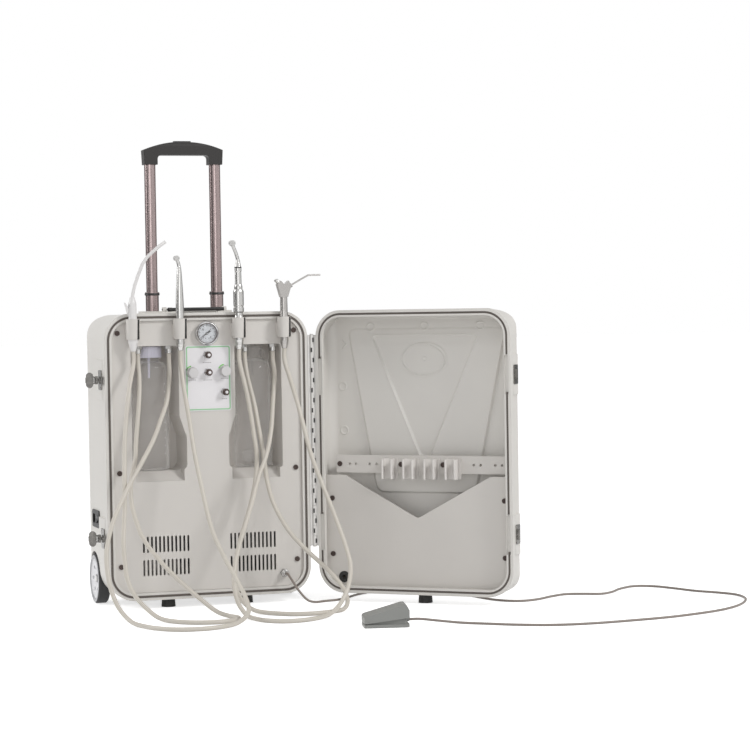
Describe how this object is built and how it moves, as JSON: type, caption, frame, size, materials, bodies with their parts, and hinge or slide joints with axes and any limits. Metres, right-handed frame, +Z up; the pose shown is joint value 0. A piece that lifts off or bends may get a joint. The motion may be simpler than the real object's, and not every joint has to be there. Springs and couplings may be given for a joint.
{
  "type": "portable dental unit",
  "caption": "Trolley case that opens on a piano hinge, with dental instruments, hoses, bottles, compressor and a foot control.",
  "frame": {"origin": "on the floor, under the middle of the open case without its free hoses and foot control", "axes": "+Z up, +X to the right and +Y to the back of the equipment half, whose open front faces -Y"},
  "size_m": [1.2322, 0.7642, 0.9163],
  "materials": {
    "shell_plastic": "fine moulded texture, ivory grey",
    "panel_plastic": "fine moulded texture, warm grey",
    "black_rubber": "matt black",
    "black_plastic": "satin black",
    "white_plastic": "satin white",
    "label_plate": "printed plate, plain, with a soft green border",
    "steel": "brushed",
    "chrome": "polished",
    "clear_glass": "clear",
    "clear_bottle": "clear moulded",
    "anodised_tube": "anodised, fluted",
    "hose_silicone": "soft satin hose",
    "tube_grey": "soft satin tube",
    "pedal_grey": "fine textured grey",
    "compressor_metal": "painted casting"
  },
  "bodies": {
    "case": {"case_shell": "shell_plastic", "rim_gasket": "black_rubber", "front_panel": "panel_plastic", "panel_screws": "black_plastic", "control_plate": "label_plate", "valve_manifold": "chrome", "pressure_gauge": "chrome", "gauge_glass": "clear_glass", "instrument_holders": "panel_plastic", "hose_glands": "steel", "water_bottle": "clear_bottle", "waste_bottle": "clear_bottle", "bottle_caps": "white_plastic", "air_compressor": "compressor_metal", "air_tank": "shell_plastic", "mains_inlet": "black_plastic", "top_bezel": "shell_plastic", "trolley_sleeves": "steel", "wheel_axle": "steel", "rubber_feet": "black_rubber", "latch_bases": "steel", "hinge_leaf_case": "steel", "hinge_pin": "steel", "suction_handpiece": "white_plastic", "turbine_handpiece": "steel", "air_motor": "steel", "syringe_body": "white_plastic", "suction_hose": "hose_silicone", "turbine_hose": "hose_silicone", "motor_hose": "hose_silicone", "syringe_hose": "hose_silicone", "foot_tube": "tube_grey", "pedal_base": "pedal_grey"},
    "lid": {"lid_shell": "shell_plastic", "clip_rail": "steel", "hose_clips": "white_plastic", "pocket_panel": "panel_plastic", "lid_screws": "black_plastic", "latch_catches": "steel", "lid_rubbers": "black_rubber", "hinge_leaf_lid": "steel"},
    "knob_left": {"control_knob_left": "panel_plastic"},
    "knob_right": {"control_knob_right": "panel_plastic"},
    "needle": {"gauge_needle": "black_plastic"},
    "fan": {"compressor_fan": "black_plastic"},
    "rocker": {"power_rocker": "black_plastic"},
    "stage": {"trolley_stage": "anodised_tube"},
    "grip": {"trolley_tubes": "anodised_tube", "trolley_grip": "black_plastic"},
    "button": {"grip_button": "black_plastic"},
    "handle": {"carry_handle": "black_plastic"},
    "left_wheel": {"wheel_left": "white_plastic"},
    "right_wheel": {"wheel_right": "white_plastic"},
    "upper_latch": {"latch_wing_upper": "chrome"},
    "lower_latch": {"latch_wing_lower": "chrome"},
    "treadle": {"pedal_treadle": "pedal_grey"},
    "lever": {"suction_lever": "steel"},
    "contra": {"contra_angle": "steel"},
    "air_key": {"syringe_air_button": "steel"},
    "water_key": {"syringe_water_button": "steel"}
  },
  "joints": [
    {"name": "lid_hinge", "type": "hinge", "parent": "case", "child": "lid", "pos_m": [0.0485, 0.028, 0.295], "axis": [0, 0, 1], "range_deg": [-25, 50]},
    {"name": "knob_left_turn", "type": "hinge", "parent": "case", "child": "knob_left", "pos_m": [-0.1925, 0.024, 0.456], "axis": [0, -1, 0], "range_deg": [-270, 0]},
    {"name": "knob_right_turn", "type": "hinge", "parent": "case", "child": "knob_right", "pos_m": [-0.1275, 0.024, 0.458], "axis": [0, -1, 0], "range_deg": [-270, 0]},
    {"name": "gauge_needle_turn", "type": "hinge", "parent": "case", "child": "needle", "pos_m": [-0.1625, 0.027, 0.532], "axis": [0, 1, 0], "range_deg": [0, 250]},
    {"name": "fan_spin", "type": "hinge", "parent": "case", "child": "fan", "pos_m": [-0.1845, 0.116, 0.112], "axis": [1, 0, 0], "continuous": true},
    {"name": "rocker_tilt", "type": "hinge", "parent": "case", "child": "rocker", "pos_m": [-0.3585, 0.134, 0.17], "axis": [0, 1, 0], "range_deg": [-18, 0]},
    {"name": "stage_slide", "type": "slide", "parent": "case", "child": "stage", "axis": [0, 0, 1], "range_m": [-0.031, 0]},
    {"name": "grip_slide", "type": "slide", "parent": "stage", "child": "grip", "axis": [0, 0, 1], "range_m": [-0.245, 0]},
    {"name": "grip_button_press", "type": "slide", "parent": "grip", "child": "button", "axis": [0, 0, -1], "range_m": [0, 0.0025], "stiffness_N_per_m": 400},
    {"name": "handle_fold", "type": "hinge", "parent": "case", "child": "handle", "pos_m": [-0.1625, 0.13, 0.579], "axis": [-1, 0, 0], "range_deg": [0, 90]},
    {"name": "left_wheel_spin", "type": "hinge", "parent": "case", "child": "left_wheel", "pos_m": [-0.353, 0.176, 0.049], "axis": [1, 0, 0], "continuous": true},
    {"name": "right_wheel_spin", "type": "hinge", "parent": "case", "child": "right_wheel", "pos_m": [0.028, 0.176, 0.049], "axis": [1, 0, 0], "continuous": true},
    {"name": "upper_latch_turn", "type": "hinge", "parent": "case", "child": "upper_latch", "pos_m": [-0.3775, 0.068, 0.445], "axis": [1, 0, 0], "range_deg": [-90, 90]},
    {"name": "lower_latch_turn", "type": "hinge", "parent": "case", "child": "lower_latch", "pos_m": [-0.3775, 0.068, 0.138], "axis": [1, 0, 0], "range_deg": [-90, 90]},
    {"name": "treadle_press", "type": "hinge", "parent": "case", "child": "treadle", "pos_m": [0.02724, -0.37893, 0.012], "axis": [0.2079, 0.9781, 0], "range_deg": [0, 6], "stiffness_Nm_per_rad": 3, "springref_deg": -2.86},
    {"name": "suction_lever_turn", "type": "hinge", "parent": "case", "child": "lever", "pos_m": [-0.3165, 0.014, 0.576], "axis": [0, 1, 0], "range_deg": [-25, 0]},
    {"name": "contra_angle_turn", "type": "hinge", "parent": "case", "child": "contra", "pos_m": [-0.1015, 0.014, 0.625], "axis": [0, 0, 1], "continuous": true},
    {"name": "air_button_press", "type": "slide", "parent": "case", "child": "air_key", "axis": [0.7071, 0, -0.7071], "range_m": [0, 0.003], "stiffness_N_per_m": 250},
    {"name": "water_button_press", "type": "slide", "parent": "case", "child": "water_key", "axis": [0.7071, 0, -0.7071], "range_m": [0, 0.003], "stiffness_N_per_m": 250}
  ]
}
